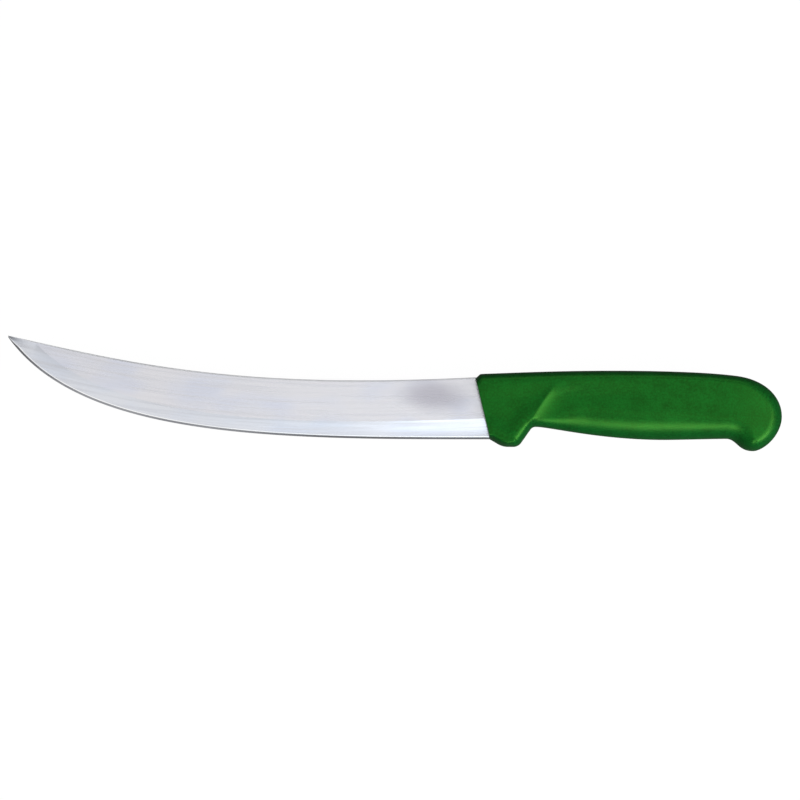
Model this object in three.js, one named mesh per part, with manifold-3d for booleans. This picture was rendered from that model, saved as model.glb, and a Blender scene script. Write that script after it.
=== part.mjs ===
// Breaking knife with an eight inch blade: a stamped steel blade that runs on into a hidden tang,
// and a plastic handle moulded round that tang. Millimetres, +Z up. The knife lies on its side,
// with +X from the tip towards the end of the handle and +Y from the cutting edge towards the spine.

import * as THREE from 'three';
import { mergeVertices } from 'three/addons/utils/BufferGeometryUtils.js';
import Module from 'manifold-3d';

const wasm = await Module();
wasm.setup();

// Driving dimensions. While a piece is made, x is measured from the place where the cutting edge
// meets the handle, y from the straight stretch of that edge, and z from the blade's middle plane.
// A pull is the length of a curve's control arm, and angles are in degrees.

// Blade, seen from its side
const BLADE_LENGTH = 206.9;
const HEEL_HEIGHT = 26.65;
const TIP_RISE = 44.6;
const TIP_BLUNT = 0.8;
const EDGE_HEEL_PULL = 91;
const EDGE_TIP_PULL = 54;
const EDGE_TIP_ANGLE = 54.5;
const SPINE_HEEL_PULL = 98.5;
const SPINE_HEEL_ANGLE = 2.9;
const SPINE_TIP_PULL = 58;
const SPINE_TIP_ANGLE = 13;

// Blade, in section: a sheet that thins towards the tip, a ground bevel and a honed edge
const STOCK_THICKNESS = 1.8;
const TIP_THICKNESS = 0.8;
const BEVEL_WIDTH_AT_HEEL = 9;
const BEVEL_WIDTH_AT_MIDDLE = 6.6;
const BEVEL_WIDTH_AT_TIP = 8;
const HONED_WIDTH = 0.6;
const HONED_THICKNESS = 0.5;
const EDGE_LAND = 0.16;
const SPINE_CHAMFER = 0.35;

// Tang and the holes that lock the plastic to it
const HEEL_DEPTH = 2.5;
const TANG_ROOT_DEPTH = 1;
const TANG_WALL_AT_NOTCH = 4;
const TANG_DROP_BELOW_SPINE = 3;
const TANG_END_RADIUS = 6;
const TANG_END_COVER = 15;
const LOCK_HOLE_DIAMETER = 5.5;
const LOCK_HOLE_COUNT = 3;
const MOULDING_CLEARANCE = 0.3;

// Handle, seen from its side: front face and the finger guard under it
const HANDLE_LENGTH = 125.4;
const FRONT_LEAN = 6.4;
const FRONT_TOP = 25.8;
const GUARD_DROP = 3.3;
const GUARD_CHAMFER = 5.6;
const GUARD_TOE = 2.5;
const GUARD_FOOT_END = 12.3;
const GUARD_CORNER = 2.2;
const NOTCH_START = 18.3;
const NOTCH_HEIGHT = 5.3;
const NOTCH_CORNER = 1.6;
const NOTCH_PULL = 6;

// Handle, seen from its side: belly, and the pommel with its beak
const BELLY_DROP = 0.3;
const BELLY_FROM_END = 50;
const BELLY_PULL = 28;
const NECK_HEIGHT = 0.15;
const NECK_FROM_END = 23.7;
const NECK_PULL = 4.5;
const BEAK_DROP = 5.15;
const BEAK_FROM_END = 12.2;
const BEAK_FRONT_PULL = 6.5;
const BEAK_REAR_PULL = 4.8;
const END_HEIGHT = 9.8;
const END_LOWER_PULL = 7.9;
const END_UPPER_PULL = 8.8;

// Handle, seen from its side: the back of the grip
const CROWN_STEP = 1.5;
const CROWN_STEP_LENGTH = 3.8;
const CROWN_CORNER = 0.5;
const CROWN_ANGLE = 2.2;
const CREST_RISE = 2.85;
const CREST_FROM_END = 73;
const CREST_PULL = 20;
const SHOULDER_DROP = 2.25;
const SHOULDER_FROM_END = 19.2;
const SHOULDER_PULL = 11.8;
const SHOULDER_ANGLE = 8;

// Handle, in thickness: flat flanks, rounded rims, and a scoop behind the ridge of the guard
const HANDLE_THICKNESS = 22;
const GUARD_ROUND = 2.6;
const FINGER_ROUND = 5;
const NOTCH_ROUND = 4.5;
const BELLY_ROUND = 12.5;
const BELLY_ROUND_START = 42;
const NECK_ROUND = 10;
const BEAK_ROUND = 6;
const END_ROUND = 7;
const CROWN_ROUND = 3.4;
const SOFT_POWER = 2;
const SQUARE_POWER = 3;
const RIDGE_FOOT = 10.4;
const RIDGE_CROWN = 31.9;
const RIDGE_BOW = 1;
const SCOOP_DEPTH = 2;
const SCOOP_RUN = 11;
const SCOOP_FADE_START = 4;
const SCOOP_FADE_END = 11;
const POMMEL_TAPER = 2;

// Mesh density: rows along a piece and columns across it
const BLADE_ROWS = 54;
const HANDLE_ROWS = [8, 14, 14, 8, 20];
const HANDLE_COLUMNS = 24;
const OUTLINE_SAMPLES = 500;
const ROUND_SEGMENTS = 32;
const BISECTION_STEPS = 40;

// Greatest shares of the blade's height, from edge to spine, that these take near the tip
const HONED_SHARE = 0.3;
const SHOULDER_SHARE = 0.92;
const CHAMFER_SHARE = 0.04;

const { lerp, smoothstep, degToRad } = THREE.MathUtils;

// Helpers

// A closed surface from rows of points on its +Z half, mirrored below z = 0. Rows run along +X,
// and the points in a row along +Y. Points that coincide are merged and empty triangles dropped.
function mirroredSkin(rows) {
  const columns = rows[0].length;
  const positions = [];
  for (const row of rows) {
    for (const point of row) {
      positions.push(point.x, point.y, point.z, point.x, point.y, -point.z);
    }
  }
  const at = (row, column, lower) => (row * columns + column) * 2 + lower;
  const index = [];
  const quad = (a, b, c, d) => index.push(a, b, c, a, c, d);
  const lastRow = rows.length - 1;
  const lastColumn = columns - 1;
  for (let r = 0; r < lastRow; r++) {
    for (let c = 0; c < lastColumn; c++) {
      quad(at(r, c, 0), at(r + 1, c, 0), at(r + 1, c + 1, 0), at(r, c + 1, 0));
      quad(at(r, c, 1), at(r, c + 1, 1), at(r + 1, c + 1, 1), at(r + 1, c, 1));
    }
    quad(at(r, 0, 1), at(r + 1, 0, 1), at(r + 1, 0, 0), at(r, 0, 0));
    quad(at(r, lastColumn, 0), at(r + 1, lastColumn, 0), at(r + 1, lastColumn, 1), at(r, lastColumn, 1));
  }
  for (let c = 0; c < lastColumn; c++) {
    quad(at(0, c, 0), at(0, c + 1, 0), at(0, c + 1, 1), at(0, c, 1));
    quad(at(lastRow, c, 1), at(lastRow, c + 1, 1), at(lastRow, c + 1, 0), at(lastRow, c, 0));
  }
  const geometry = new THREE.BufferGeometry();
  geometry.setAttribute('position', new THREE.Float32BufferAttribute(positions, 3));
  geometry.setIndex(index);
  return geometry;
}

// A solid for cutting and joining, from any closed geometry.
function toSolid(geometry) {
  const bare = geometry.clone();
  bare.deleteAttribute('normal');
  bare.deleteAttribute('uv');
  const merged = mergeVertices(bare);
  const corners = merged.index.array;
  const triangles = [];
  for (let i = 0; i < corners.length; i += 3) {
    const [a, b, c] = [corners[i], corners[i + 1], corners[i + 2]];
    if (a !== b && b !== c && c !== a) triangles.push(a, b, c);
  }
  return new wasm.Manifold(new wasm.Mesh({
    numProp: 3,
    vertProperties: new Float32Array(merged.attributes.position.array),
    triVerts: new Uint32Array(triangles),
  }));
}

function toGeometry(solid) {
  const mesh = solid.getMesh();
  const geometry = new THREE.BufferGeometry();
  geometry.setAttribute('position', new THREE.BufferAttribute(mesh.vertProperties, 3));
  geometry.setIndex(new THREE.BufferAttribute(mesh.triVerts, 1));
  geometry.computeVertexNormals();
  return geometry;
}

// A plate of the given outline, centred on z = 0.
function plate(shape, thickness) {
  const geometry = new THREE.ExtrudeGeometry(shape, {
    depth: thickness,
    bevelEnabled: false,
    curveSegments: ROUND_SEGMENTS / 2,
  });
  return geometry.translate(0, 0, -thickness / 2);
}

// A round pin along Z, centred on z = 0.
function pin(centre, diameter, length) {
  const geometry = new THREE.CylinderGeometry(diameter / 2, diameter / 2, length, ROUND_SEGMENTS);
  return geometry.rotateX(Math.PI / 2).translate(centre.x, centre.y, 0);
}

// The point at a height y on the leaning line of the handle's front face.
function onFront(y) {
  return new THREE.Vector2((-FRONT_LEAN * y) / HEEL_HEIGHT, y);
}

// The point reached from another by going a length at an angle above +X.
function reach(from, length, degrees) {
  const angle = degToRad(degrees);
  return new THREE.Vector2(from.x + length * Math.cos(angle), from.y + length * Math.sin(angle));
}

// Blade

// Width of the ground bevel, square to the edge, at a share u of the way from heel to tip.
function bevelWidth(u) {
  const control = 2 * BEVEL_WIDTH_AT_MIDDLE - (BEVEL_WIDTH_AT_HEEL + BEVEL_WIDTH_AT_TIP) / 2;
  return (1 - u) ** 2 * BEVEL_WIDTH_AT_HEEL + 2 * u * (1 - u) * control + u ** 2 * BEVEL_WIDTH_AT_TIP;
}

// Half the blade's thickness at a distance from the edge: honed edge, bevel, then plain sheet.
function halfThickness(distance, bevel, sheet) {
  if (distance >= bevel) return sheet / 2;
  if (distance <= HONED_WIDTH) return lerp(EDGE_LAND, HONED_THICKNESS, distance / HONED_WIDTH) / 2;
  const share = (distance - HONED_WIDTH) / (bevel - HONED_WIDTH);
  return lerp(HONED_THICKNESS, sheet, share) / 2;
}

// Rows of the blade from tip to heel, each from edge to spine, grown outwards all round by grow.
function bladeRows(grow) {
  const heelLow = onFront(0);
  const heelHigh = onFront(HEEL_HEIGHT);
  const tipHigh = new THREE.Vector2(-BLADE_LENGTH, TIP_RISE);
  const tipLow = new THREE.Vector2(-BLADE_LENGTH, TIP_RISE - TIP_BLUNT);
  const edge = new THREE.CubicBezierCurve(
    heelLow, reach(heelLow, -EDGE_HEEL_PULL, 0), reach(tipLow, EDGE_TIP_PULL, -EDGE_TIP_ANGLE), tipLow);
  const spine = new THREE.CubicBezierCurve(
    heelHigh, reach(heelHigh, -SPINE_HEEL_PULL, SPINE_HEEL_ANGLE),
    reach(tipHigh, SPINE_TIP_PULL, -SPINE_TIP_ANGLE), tipHigh);
  const rows = [];
  for (let i = BLADE_ROWS; i >= 0; i--) {
    const u = i / BLADE_ROWS;
    const low = edge.getPointAt(u);
    const high = spine.getPointAt(u);
    const tangent = edge.getTangentAt(u);
    const height = low.distanceTo(high);
    const across = high.clone().sub(low).divideScalar(height);
    const depth = height * Math.abs(across.cross(tangent));
    const bevel = bevelWidth(u);
    const sheet = lerp(STOCK_THICKNESS, TIP_THICKNESS, u);
    const shares = [
      0,
      Math.min(HONED_WIDTH / depth, HONED_SHARE),
      Math.min(bevel / depth, SHOULDER_SHARE),
      1 - Math.min(SPINE_CHAMFER / height, CHAMFER_SHARE),
      1,
    ];
    rows.push(shares.map((share) => {
      const outward = share === 0 ? -grow : share === 1 ? grow : 0;
      const point = low.clone().addScaledVector(across, share * height + outward);
      const chamfer = share === 1 ? 1 - (2 * SPINE_CHAMFER) / STOCK_THICKNESS : 1;
      const half = halfThickness(share * depth, bevel, sheet) * chamfer;
      return new THREE.Vector3(point.x, point.y, half + grow);
    }));
  }
  const heel = new THREE.Vector3(HEEL_DEPTH + grow, 0, 0);
  rows.push(rows[rows.length - 1].map((point) => point.clone().add(heel)));
  return rows;
}

// Places of the tang that its outline and its holes share.
function tangLayout() {
  const low = NOTCH_HEIGHT + TANG_WALL_AT_NOTCH;
  const high = HEEL_HEIGHT - TANG_DROP_BELOW_SPINE;
  const endCentre = new THREE.Vector2(HANDLE_LENGTH - TANG_END_COVER - TANG_END_RADIUS, (low + high) / 2);
  return { low, high, endCentre };
}

// The tang as a tapering bar with a round end, grown outwards all round by grow.
function tangSolid(grow) {
  const { low, high, endCentre } = tangLayout();
  const rootLow = onFront(low - grow);
  const rootHigh = onFront(high + grow);
  const root = TANG_ROOT_DEPTH - grow;
  const radius = TANG_END_RADIUS + grow;
  const shape = new THREE.Shape();
  shape.moveTo(rootLow.x + root, rootLow.y);
  shape.lineTo(endCentre.x, endCentre.y - radius);
  shape.absarc(endCentre.x, endCentre.y, radius, -Math.PI / 2, Math.PI / 2);
  shape.lineTo(rootHigh.x + root, rootHigh.y);
  shape.closePath();
  return toSolid(plate(shape, STOCK_THICKNESS + 2 * grow));
}

// Pins through the tang: the holes in it, or the plastic that fills them.
function lockPins(diameter, length) {
  const { endCentre } = tangLayout();
  const pitch = endCentre.x / LOCK_HOLE_COUNT;
  const pins = [];
  for (let i = 0; i < LOCK_HOLE_COUNT; i++) {
    const centre = new THREE.Vector2(endCentre.x - i * pitch, endCentre.y);
    pins.push(toSolid(pin(centre, diameter, length)));
  }
  return pins.reduce((all, next) => all.add(next));
}

function makeBlade() {
  const holes = lockPins(LOCK_HOLE_DIAMETER, 2 * STOCK_THICKNESS);
  return toSolid(mirroredSkin(bladeRows(0))).add(tangSolid(0)).subtract(holes);
}

// Handle

// Underside of the handle from the front face, over guard, notch, belly and beak, to its end.
function footPath() {
  const toe = new THREE.Vector2(GUARD_CHAMFER, -GUARD_DROP);
  const beforeToe = toe.clone().setLength(toe.length() - GUARD_TOE);
  const slope = new THREE.Vector2(NOTCH_START - GUARD_FOOT_END, NOTCH_HEIGHT + GUARD_DROP).normalize();
  const bellyX = HANDLE_LENGTH - BELLY_FROM_END;
  const neckX = HANDLE_LENGTH - NECK_FROM_END;
  const beakX = HANDLE_LENGTH - BEAK_FROM_END;
  const notchEnd = NOTCH_START + NOTCH_CORNER;
  const path = new THREE.Path();
  path.moveTo(0, 0);
  path.lineTo(beforeToe.x, beforeToe.y);
  path.quadraticCurveTo(toe.x, toe.y, toe.x + GUARD_TOE, toe.y);
  path.lineTo(GUARD_FOOT_END - GUARD_CORNER, -GUARD_DROP);
  path.quadraticCurveTo(
    GUARD_FOOT_END, -GUARD_DROP,
    GUARD_FOOT_END + GUARD_CORNER * slope.x, -GUARD_DROP + GUARD_CORNER * slope.y);
  path.lineTo(NOTCH_START - NOTCH_CORNER * slope.x, NOTCH_HEIGHT - NOTCH_CORNER * slope.y);
  path.quadraticCurveTo(NOTCH_START, NOTCH_HEIGHT, notchEnd, NOTCH_HEIGHT);
  path.bezierCurveTo(
    notchEnd + NOTCH_PULL, NOTCH_HEIGHT, bellyX - BELLY_PULL, -BELLY_DROP, bellyX, -BELLY_DROP);
  path.bezierCurveTo(
    bellyX + NECK_PULL, -BELLY_DROP, neckX - NECK_PULL, NECK_HEIGHT, neckX, NECK_HEIGHT);
  path.bezierCurveTo(
    neckX + NECK_PULL, NECK_HEIGHT, beakX - BEAK_FRONT_PULL, -BEAK_DROP, beakX, -BEAK_DROP);
  path.bezierCurveTo(
    beakX + BEAK_REAR_PULL, -BEAK_DROP, HANDLE_LENGTH, END_HEIGHT - END_LOWER_PULL,
    HANDLE_LENGTH, END_HEIGHT);
  return path;
}

// Back of the handle from the front face, over the crest and the pommel's shoulder, to its end.
function crownPath() {
  const front = onFront(FRONT_TOP);
  const step = new THREE.Vector2(front.x + CROWN_STEP_LENGTH, HEEL_HEIGHT + CROWN_STEP);
  const crest = new THREE.Vector2(HANDLE_LENGTH - CREST_FROM_END, HEEL_HEIGHT + CREST_RISE);
  const shoulder = new THREE.Vector2(HANDLE_LENGTH - SHOULDER_FROM_END, crest.y - SHOULDER_DROP);
  const climb = reach(step, CREST_PULL, CROWN_ANGLE);
  const before = reach(shoulder, -SHOULDER_PULL, -SHOULDER_ANGLE);
  const after = reach(shoulder, SHOULDER_PULL, -SHOULDER_ANGLE);
  const path = new THREE.Path();
  path.moveTo(front.x, front.y);
  path.quadraticCurveTo(front.x + CROWN_CORNER, step.y, step.x, step.y);
  path.bezierCurveTo(climb.x, climb.y, crest.x - CREST_PULL, crest.y, crest.x, crest.y);
  path.bezierCurveTo(crest.x + CREST_PULL, crest.y, before.x, before.y, shoulder.x, shoulder.y);
  path.bezierCurveTo(
    after.x, after.y, HANDLE_LENGTH, END_HEIGHT + END_UPPER_PULL, HANDLE_LENGTH, END_HEIGHT);
  return path;
}

// The share of a path's length at which it reaches x, on a path whose x only grows.
function shareAt(path, x) {
  let [before, after] = [0, 1];
  for (let i = 0; i < BISECTION_STEPS; i++) {
    const middle = (before + after) / 2;
    if (path.getPoint(middle).x < x) before = middle;
    else after = middle;
  }
  return (before + after) / 2;
}

// Least distance from a point to a line through evenly spaced samples, and the share of the line's
// length where it is met.
function nearestOn(samples, point) {
  const nearest = { distance: Infinity, share: 0 };
  for (let i = 1; i < samples.length; i++) {
    const along = samples[i].clone().sub(samples[i - 1]);
    const from = point.clone().sub(samples[i - 1]);
    const share = THREE.MathUtils.clamp(from.dot(along) / along.lengthSq(), 0, 1);
    const distance = from.addScaledVector(along, -share).length();
    if (distance < nearest.distance) {
      nearest.distance = distance;
      nearest.share = (i - 1 + share) / (samples.length - 1);
    }
  }
  return nearest;
}

// A size that eases from one value to the next between the places that have them.
function easedSize(share, places, sizes) {
  let size = sizes[0];
  for (let i = 1; i < places.length; i++) {
    size = lerp(size, sizes[i], smoothstep(share, places[i - 1], places[i]));
  }
  return size;
}

// Rise of a rounded rim: 0 at the rim, 1 from a share of 1 on. With a power of 2 it is a quarter of
// an ellipse, and a higher power makes it squarer.
function rimRise(share, power) {
  return (1 - (1 - Math.min(share, 1)) ** 2) ** (1 / power);
}

// Lines across the flank that the rows are spread between: from a point of the underside to one
// of the back, bowed towards the front.
function flankLines(foot, crown) {
  const notchX = NOTCH_START + NOTCH_CORNER;
  const bellyX = HANDLE_LENGTH - BELLY_FROM_END;
  const neckX = HANDLE_LENGTH - NECK_FROM_END;
  const line = (footX, crownX, bow) => ({ foot: shareAt(foot, footX), crown: shareAt(crown, crownX), bow });
  return [
    { foot: 0, crown: 0, bow: 0 },
    line(RIDGE_FOOT, RIDGE_CROWN, RIDGE_BOW),
    line(notchX, lerp(RIDGE_CROWN, bellyX, 1 / 4), RIDGE_BOW),
    line(bellyX, bellyX, 0),
    line(neckX, neckX, 0),
    { foot: 1, crown: 1, bow: 0 },
  ];
}

// Points of one line across the flank, closer together towards the rims.
function acrossFlank(low, high, bow) {
  const chord = high.clone().sub(low);
  const side = new THREE.Vector2(-chord.y, chord.x).normalize();
  const control = low.clone().addScaledVector(chord, 1 / 2).addScaledVector(side, 2 * bow);
  const curve = new THREE.QuadraticBezierCurve(low, control, high);
  const points = [];
  for (let i = 0; i <= HANDLE_COLUMNS; i++) {
    points.push(curve.getPoint((1 - Math.cos((Math.PI * i) / HANDLE_COLUMNS)) / 2));
  }
  return points;
}

// Rows of the handle from the front face to its end, each from underside to back.
function handleRows() {
  const foot = footPath();
  const crown = crownPath();
  const footSamples = foot.getSpacedPoints(OUTLINE_SAMPLES);
  const crownSamples = crown.getSpacedPoints(OUTLINE_SAMPLES);
  const lines = flankLines(foot, crown);
  const [, ridgeLine, notchLine, bellyLine, neckLine] = lines;
  const spread = (line) => acrossFlank(foot.getPoint(line.foot), crown.getPoint(line.crown), line.bow);
  const ridge = spread(ridgeLine);
  const notchX = foot.getPoint(notchLine.foot).x;
  const bellyX = foot.getPoint(bellyLine.foot).x;
  const neckX = foot.getPoint(neckLine.foot).x;

  const beakX = HANDLE_LENGTH - BEAK_FROM_END;
  const footPlaces = [
    GUARD_FOOT_END, NOTCH_START, notchX, BELLY_ROUND_START, bellyX, neckX, beakX, HANDLE_LENGTH];
  const footShares = footPlaces.map((x) => shareAt(foot, x));
  const footRounds = [
    GUARD_ROUND, FINGER_ROUND, NOTCH_ROUND, BELLY_ROUND, BELLY_ROUND, NECK_ROUND, BEAK_ROUND,
    END_ROUND];
  const footPowers = [
    SOFT_POWER, SQUARE_POWER, SQUARE_POWER, SOFT_POWER, SOFT_POWER, SOFT_POWER, SOFT_POWER,
    SQUARE_POWER];
  const crownShares = [neckLine.crown, 1];
  const crownRounds = [CROWN_ROUND, END_ROUND];

  const height = (point, behindRidge) => {
    const low = nearestOn(footSamples, point);
    const high = nearestOn(crownSamples, point);
    const run = behindRidge ? Math.min(nearestOn(ridge, point).distance / SCOOP_RUN, 1) : 0;
    const fade = smoothstep(high.distance, SCOOP_FADE_START, SCOOP_FADE_END)
      * (1 - smoothstep(point.x, notchX, bellyX));
    const scoop = SCOOP_DEPTH * (1 - (1 - run) ** 3) * fade;
    const taper = POMMEL_TAPER * (Math.max(point.x - neckX, 0) / NECK_FROM_END) ** 2;
    const lowRound = easedSize(low.share, footShares, footRounds);
    const highRound = easedSize(high.share, crownShares, crownRounds);
    const lowPower = easedSize(low.share, footShares, footPowers);
    const rise = Math.min(
      rimRise(low.distance / lowRound, lowPower),
      rimRise(high.distance / highRound, SQUARE_POWER));
    return (HANDLE_THICKNESS / 2 - scoop - taper) * rise;
  };

  const rows = [];
  HANDLE_ROWS.forEach((count, span) => {
    const [start, end] = [lines[span], lines[span + 1]];
    const last = span === HANDLE_ROWS.length - 1 ? count : count - 1;
    for (let i = 0; i <= last; i++) {
      const share = i / count;
      const line = {};
      for (const key of Object.keys(start)) line[key] = lerp(start[key], end[key], share);
      const behindRidge = span > 0;
      rows.push(spread(line).map((point, column) => {
        const onRim = column === 0 || column === HANDLE_COLUMNS;
        const z = onRim ? 0 : height(point, behindRidge);
        return new THREE.Vector3(point.x, point.y, z);
      }));
    }
  });
  return rows;
}

// The moulding: a body with a pocket for heel and tang, crossed by the plastic in the holes.
function makeHandle() {
  const pegs = lockPins(LOCK_HOLE_DIAMETER - 2 * MOULDING_CLEARANCE, HANDLE_THICKNESS / 2);
  const pocket = toSolid(mirroredSkin(bladeRows(MOULDING_CLEARANCE))).add(tangSolid(MOULDING_CLEARANCE));
  return toSolid(mirroredSkin(handleRows())).subtract(pocket.subtract(pegs));
}

// Assembly: both pieces keep their common datum, and the group is moved so that the origin lies
// under the middle of the knife, on the surface that its flank rests on.
const steel = new THREE.MeshStandardMaterial({ color: 0xd6d8dd, roughness: 0.35, metalness: 1 });
const plastic = new THREE.MeshStandardMaterial({ color: 0x0f5d22, roughness: 0.5, metalness: 0 });

const knife = new THREE.Group();
const pieces = [
  ['blade', makeBlade(), steel],
  ['handle', makeHandle(), plastic],
];
for (const [name, solid, material] of pieces) {
  const mesh = new THREE.Mesh(toGeometry(solid), material);
  mesh.name = name;
  knife.add(mesh);
}
const box = new THREE.Box3().setFromObject(knife);
const centre = box.getCenter(new THREE.Vector3());
knife.position.set(-centre.x, -centre.y, -box.min.z);

export default knife;
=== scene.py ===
"""Looks of a breaking knife: a satin steel blade set in a green moulded handle.

The knife lies on its side on a white floor and is seen from straight above. Both pieces are worked
out again here with finer surfaces than the solids have, from the same sizes, and stand for them.
"""

import logging
import math
from collections.abc import Sequence
from dataclasses import dataclass, field
from enum import Enum
from typing import Any

import bpy
import numpy as np
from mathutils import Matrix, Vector


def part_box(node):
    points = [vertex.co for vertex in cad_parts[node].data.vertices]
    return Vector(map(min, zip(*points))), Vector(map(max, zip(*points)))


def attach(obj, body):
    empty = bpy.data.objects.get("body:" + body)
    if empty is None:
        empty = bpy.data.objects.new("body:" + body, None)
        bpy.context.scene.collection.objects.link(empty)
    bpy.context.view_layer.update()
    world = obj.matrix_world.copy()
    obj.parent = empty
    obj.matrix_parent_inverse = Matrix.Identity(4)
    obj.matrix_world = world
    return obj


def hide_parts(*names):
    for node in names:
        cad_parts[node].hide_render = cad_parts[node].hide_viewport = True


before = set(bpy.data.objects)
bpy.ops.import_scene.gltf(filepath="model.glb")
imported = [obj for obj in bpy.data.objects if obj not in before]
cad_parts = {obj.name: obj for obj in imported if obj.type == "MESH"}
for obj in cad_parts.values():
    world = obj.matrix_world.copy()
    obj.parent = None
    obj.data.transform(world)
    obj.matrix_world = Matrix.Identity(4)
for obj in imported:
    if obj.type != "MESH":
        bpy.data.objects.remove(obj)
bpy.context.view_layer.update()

LOG = logging.getLogger("breaking_knife")
MM = 0.001
TINY = 1e-9

# sockets of a Mix node that mixes colours
MIX_SHARE, MIX_FIRST, MIX_SECOND, MIXED = 0, 6, 7, 2


class Along(Enum):
    """What a pattern in a finish is laid out on."""

    PIECE = "Object"
    GRIND = "UV"


class Easing(Enum):
    """How a value passes from one end of a range to the other."""

    STRAIGHT = "LINEAR"
    SMOOTH = "SMOOTHSTEP"


class Zone(Enum):
    """Parts of the blade's surface that are finished differently, by material slot."""

    FLAT = 0
    BEVEL = 1
    EDGE = 2
    SPINE = 3
    LINE = 4


def linear(hex_colour: str) -> tuple[float, float, float, float]:
    """Turns an sRGB colour into linear light.

    Args:
        hex_colour: six hexadecimal digits, red, green and blue.

    Returns:
        Red, green, blue and an alpha of 1.
    """
    srgb = np.array([int(hex_colour[i:i + 2], 16) for i in (0, 2, 4)]) / 255
    light = np.where(srgb <= 0.04045, srgb / 12.92, ((srgb + 0.055) / 1.055) ** 2.4)
    return (*light.tolist(), 1.0)


def add_node(tree: bpy.types.NodeTree, kind: str, options: dict[str, Any] | None = None,
             values: dict[str | int, Any] | None = None,
             links: dict[str | int, bpy.types.NodeSocket] | None = None) -> bpy.types.Node:
    """Adds a node with its settings and links.

    Args:
        tree: the node tree that gets the node.
        kind: the node's type, without its ShaderNode prefix.
        options: properties of the node.
        values: constants for its input sockets, by name or index.
        links: outputs of other nodes for its input sockets, by name or index.

    Returns:
        The new node.
    """
    node = tree.nodes.new("ShaderNode" + kind)
    for name, value in (options or {}).items():
        setattr(node, name, value)
    for key, value in (values or {}).items():
        node.inputs[key].default_value = value
    for key, socket in (links or {}).items():
        tree.links.new(socket, node.inputs[key])
    return node


def ranged(tree: bpy.types.NodeTree, value: bpy.types.NodeSocket, source: tuple[float, float],
           target: tuple[float, float] = (0.0, 1.0),
           easing: Easing = Easing.STRAIGHT) -> bpy.types.NodeSocket:
    """Adds a node that maps one range of a value onto another.

    Args:
        tree: the node tree that gets the node.
        value: the output that gives the value.
        source: the values at the ends of the range.
        target: what they become.
        easing: how the result passes between them.

    Returns:
        The output that gives the result.
    """
    return add_node(tree, "MapRange", {"interpolation_type": easing.value}, {
        1: source[0], 2: source[1], 3: target[0], 4: target[1]}, {0: value}).outputs[0]


def new_material(name: str) -> bpy.types.Material:
    """Makes an empty node material.

    Args:
        name: the material's name.

    Returns:
        The material, with no nodes in its tree.
    """
    material = bpy.data.materials.new(name)
    material.use_nodes = True
    material.node_tree.nodes.clear()
    return material


def smoothstep(low: float, high: float, value: np.ndarray) -> np.ndarray:
    """Goes from 0 at low to 1 at high along 3s squared less 2s cubed."""
    share = np.clip((value - low) / (high - low), 0, 1)
    return share * share * (3 - 2 * share)


def eased(value: np.ndarray, places: Sequence[float], sizes: Sequence[float]) -> np.ndarray:
    """Goes from size to size, easing in and out between the places that have them.

    Args:
        value: where the size is wanted.
        places: places in growing order.
        sizes: the sizes there.

    Returns:
        One size for each value.
    """
    at = np.interp(value, places, np.arange(len(places)))
    whole = np.floor(at)
    return np.interp(whole + smoothstep(0, 1, at - whole), np.arange(len(sizes)), sizes)


def reach(start: np.ndarray, length: float, degrees: float) -> np.ndarray:
    """Gives the point a length away from another, at an angle above +X."""
    angle = math.radians(degrees)
    return start + length * np.array([math.cos(angle), math.sin(angle)])


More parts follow.
